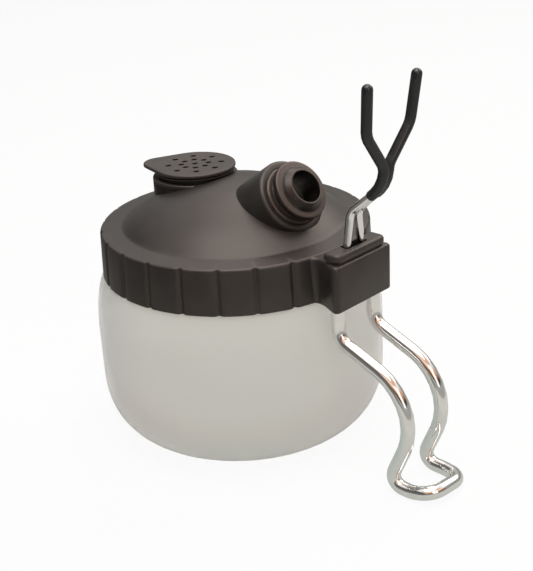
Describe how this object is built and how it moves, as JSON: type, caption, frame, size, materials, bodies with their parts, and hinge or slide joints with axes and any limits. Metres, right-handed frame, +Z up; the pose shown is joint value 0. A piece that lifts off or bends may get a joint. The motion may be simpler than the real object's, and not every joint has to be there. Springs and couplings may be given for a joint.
{
  "type": "airbrush cleaning pot with holder",
  "caption": "Frosted glass spray-out jar with a domed screw lid, a filtered vent, a tilted rubber nozzle port, and a wire fork and rest loop that hold an airbrush.",
  "frame": {"origin": "centre of the jar's base, on the surface it stands on", "axes": "+Z up along the jar's axis, +X towards the bracket that holds the fork and the rest loop"},
  "size_m": [0.1229, 0.087, 0.1147],
  "materials": {
    "frosted_glass": "acid-frosted",
    "lid_plastic": "moulded satin",
    "cap_plastic": "moulded satin",
    "chrome_wire": "bright plated",
    "vinyl": "dipped, glossy",
    "seat_rubber": "semi-gloss",
    "seal_rubber": "matte",
    "filter_felt": "felt"
  },
  "bodies": {
    "jar": {"glass_jar": "frosted_glass"},
    "gasket": {"jar_gasket": "seal_rubber"},
    "lid": {"screw_lid": "lid_plastic", "bracket_cover": "lid_plastic", "rest_loop": "chrome_wire"},
    "fork": {"fork_wire": "chrome_wire", "fork_sleeve_left": "vinyl", "fork_sleeve_right": "vinyl"},
    "seat": {"nozzle_seat": "seat_rubber"},
    "vent": {"vent_cap": "cap_plastic", "vent_seal": "seal_rubber"},
    "basket": {"filter_basket": "cap_plastic", "vent_filter": "filter_felt"}
  },
  "joints": [
    {"name": "lid_lift", "type": "slide", "parent": "jar", "child": "gasket", "axis": [0, 0, 1], "range_m": [0, 0.0061]},
    {"name": "lid_turn", "type": "hinge", "parent": "gasket", "child": "lid", "pos_m": [0, 0, 0.06], "axis": [0, 0, 1], "range_deg": [0, 540]},
    {"name": "seat_pull", "type": "slide", "parent": "lid", "child": "seat", "axis": [0.8161, 0, 0.5779], "range_m": [0, 0.012]},
    {"name": "vent_cap_lift", "type": "slide", "parent": "lid", "child": "vent", "axis": [0, 0, 1], "range_m": [0, 0.012]},
    {"name": "basket_pull", "type": "slide", "parent": "vent", "child": "basket", "axis": [0, 0, -1], "range_m": [0, 0.0065]},
    {"name": "fork_lift", "type": "slide", "parent": "lid", "child": "fork", "axis": [0, 0, 1], "range_m": [0, 0.012]}
  ],
  "couplings": [
    {"joint": "lid_lift", "follows": "lid_turn", "m_per_rad": 0.00063662}
  ]
}
